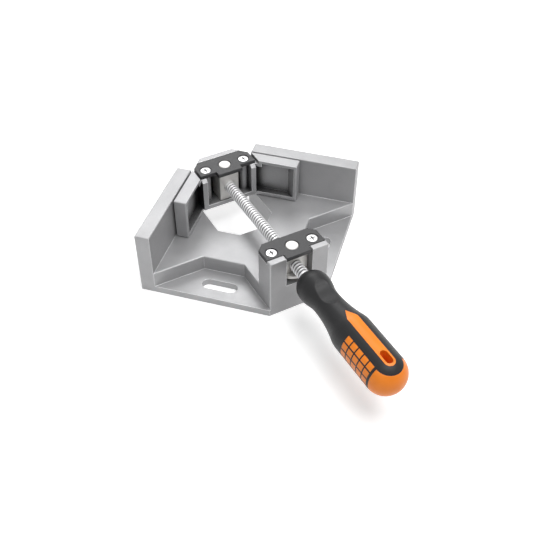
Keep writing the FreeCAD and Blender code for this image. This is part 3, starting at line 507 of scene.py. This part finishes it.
class CLAMP_OT_cover_screws(bpy.types.Operator):
    """Four cover screws with cross recesses"""
    bl_idname = "clamp.cover_screws"
    bl_label = "Cover screws"

    def execute(self, context):
        sizes = context.scene.clamp_cover_screw
        # Painted shade in the cross recesses, by the recess share.
        plating = turned_steel("bright_zinc_plating", context.scene.clamp_finishes.steel,
                               roughness=0.36, along=AXIS_Z, low_spot_shade_share=0.04, on_grid=True)
        for end, body in (("front", "frame"), ("rear", "jaw")):
            for side in ("left", "right"):
                node = f"{end}_cover_screw_{side}"
                low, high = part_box(node)
                centre = middle(node)
                points, groove = cover_screw_points(sizes, centre.x, centre.y, high.z, low.z,
                                                    (high.x - low.x) / 2)
                name = f"{end}_{side}_cross_screw"
                mesh = grid_mesh(name, points, groove)
                piece_of(name, mesh, plating, body, node)
        return {"FINISHED"}


class CLAMP_OT_handle(bpy.types.Operator):
    """Orange core and dark grip of the handle"""
    bl_idname = "clamp.handle"
    bl_label = "Handle"

    def execute(self, context):
        finishes = context.scene.clamp_finishes
        dress("handle_core", hard_plastic("orange_plastic", finishes.core))
        dress("handle_grip", soft_rubber("dark_grip", finishes.grip))
        return {"FINISHED"}


class CLAMP_OT_stage(bpy.types.Operator):
    """Pale floor, soft lamps, surrounding light and the camera"""
    bl_idname = "clamp.stage"
    bl_label = "Stage"

    def execute(self, context):
        scene = context.scene
        studio = scene.clamp_studio
        self.floor(scene)
        self.lamp(scene, "key", studio.key, studio.key_place, studio.key_side)
        self.lamp(scene, "fill", studio.fill, studio.fill_place, studio.fill_side)
        self.lamp(scene, "rim", studio.rim, studio.rim_place, studio.rim_side)
        self.surroundings(scene, studio.world)
        self.camera(scene, studio)
        return {"FINISHED"}

    @staticmethod
    def floor(scene):
        """A flat pale floor that the camera sees as white with the clamp's shadow on it. Its
        glow grows with the distance, because the lamps light only the middle."""
        reach = 6.0
        lit, unlit = 0.6, 2.0
        near_glow, far_glow = 0.50, 1.0
        mesh = bpy.data.meshes.new("studio_floor")
        corners = [(-reach, -reach, 0), (reach, -reach, 0), (reach, reach, 0), (-reach, reach, 0)]
        mesh.from_pydata(corners, [], [(0, 1, 2, 3)])
        floor = bpy.data.objects.new("studio_floor", mesh)
        scene.collection.objects.link(floor)
        made = Recipe("floor_white", scene.clamp_finishes.floor, roughness=0.9)
        away = made.add("ShaderNodeVectorMath", {"operation": "LENGTH"}, {0: made.spot})
        level = made.ramp(away.outputs["Value"], near_glow, far_glow, lit, unlit)
        glow = made.add("ShaderNodeMath", {"operation": "MULTIPLY"},
                        {0: background_rays(made.tree), 1: level})
        made.put("Emission Color", WHITE)
        made.join(glow.outputs[0], "Emission Strength")
        mesh.materials.append(made.material)

    @staticmethod
    def lamp(scene, name, watts, stand, side):
        """A square soft lamp aimed at the clamp."""
        light = bpy.data.lights.new(name, "AREA")
        light.energy = watts
        light.size = side
        lamp = bpy.data.objects.new(name, light)
        lamp.location = stand
        lamp.rotation_mode = "QUATERNION"
        lamp.rotation_quaternion = (-Vector(stand)).to_track_quat("-Z", "Y")
        scene.collection.objects.link(lamp)

    @staticmethod
    def surroundings(scene, strength):
        """Plain light from all round, which the camera and the metal see as white."""
        world = bpy.data.worlds.new("studio_world")
        world.use_nodes = True
        scene.world = world
        tree = world.node_tree
        level = tree.nodes.new("ShaderNodeMapRange")
        level.inputs["To Min"].default_value = strength
        level.inputs["To Max"].default_value = 1.0
        tree.links.new(background_rays(tree), level.inputs["Value"])
        back = tree.nodes["Background"]
        back.inputs["Color"].default_value = WHITE
        tree.links.new(level.outputs["Result"], back.inputs["Strength"])

    @staticmethod
    def camera(scene, studio):
        """The camera at the photograph's angle."""
        a, e = studio.azimuth, studio.elevation
        back = Vector((math.sin(a) * math.cos(e), -math.cos(a) * math.cos(e), math.sin(e)))
        data = bpy.data.cameras.new("camera")
        data.sensor_width = 36.0
        data.lens = studio.lens
        data.shift_x, data.shift_y = studio.shift
        data.clip_start, data.clip_end = 0.01, 30.0
        camera = bpy.data.objects.new("camera", data)
        camera.location = Vector(studio.target) + back * studio.distance
        camera.rotation_mode = "QUATERNION"
        camera.rotation_quaternion = (-back).to_track_quat("-Z", "Y")
        scene.collection.objects.link(camera)
        scene.camera = camera
        scene.view_settings.view_transform = "Standard"


class CLAMP_PT_panel(bpy.types.Panel):
    """Sizes, colours and steps of the corner clamp"""
    bl_idname = "CLAMP_PT_panel"
    bl_label = "Corner clamp"
    bl_space_type = "VIEW_3D"
    bl_region_type = "UI"
    bl_category = "Clamp"

    def draw(self, context):
        for group, _ in GROUPS:
            box = self.layout.box()
            settings = getattr(context.scene, group)
            for key in type(settings).__annotations__:
                box.prop(settings, key)
        for step in STEPS:
            self.layout.operator(step.bl_idname)


GROUPS = (
    ("clamp_screw", ScrewSizes),
    ("clamp_cover_screw", CoverScrewSizes),
    ("clamp_finishes", Finishes),
    ("clamp_studio", StudioSizes),
)
STEPS = (
    CLAMP_OT_castings,
    CLAMP_OT_cover_plates,
    CLAMP_OT_pivots,
    CLAMP_OT_lead_screw,
    CLAMP_OT_cover_screws,
    CLAMP_OT_handle,
    CLAMP_OT_stage,
)


def register():
    """Adds the settings to the scene, and the steps and the panel to Blender."""
    for name, group in GROUPS:
        bpy.utils.register_class(group)
        setattr(bpy.types.Scene, name, bpy.props.PointerProperty(type=group))
    for step in STEPS:
        bpy.utils.register_class(step)
    bpy.utils.register_class(CLAMP_PT_panel)


def unregister():
    """Takes the panel, the steps and the settings out again."""
    bpy.utils.unregister_class(CLAMP_PT_panel)
    for step in reversed(STEPS):
        bpy.utils.unregister_class(step)
    for name, group in reversed(GROUPS):
        delattr(bpy.types.Scene, name)
        bpy.utils.unregister_class(group)


def main():
    """Builds the scene."""
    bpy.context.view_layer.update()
    register()
    for step in STEPS:
        space, name = step.bl_idname.split(".")
        getattr(getattr(bpy.ops, space), name)()


if __name__ == "__main__":
    main()
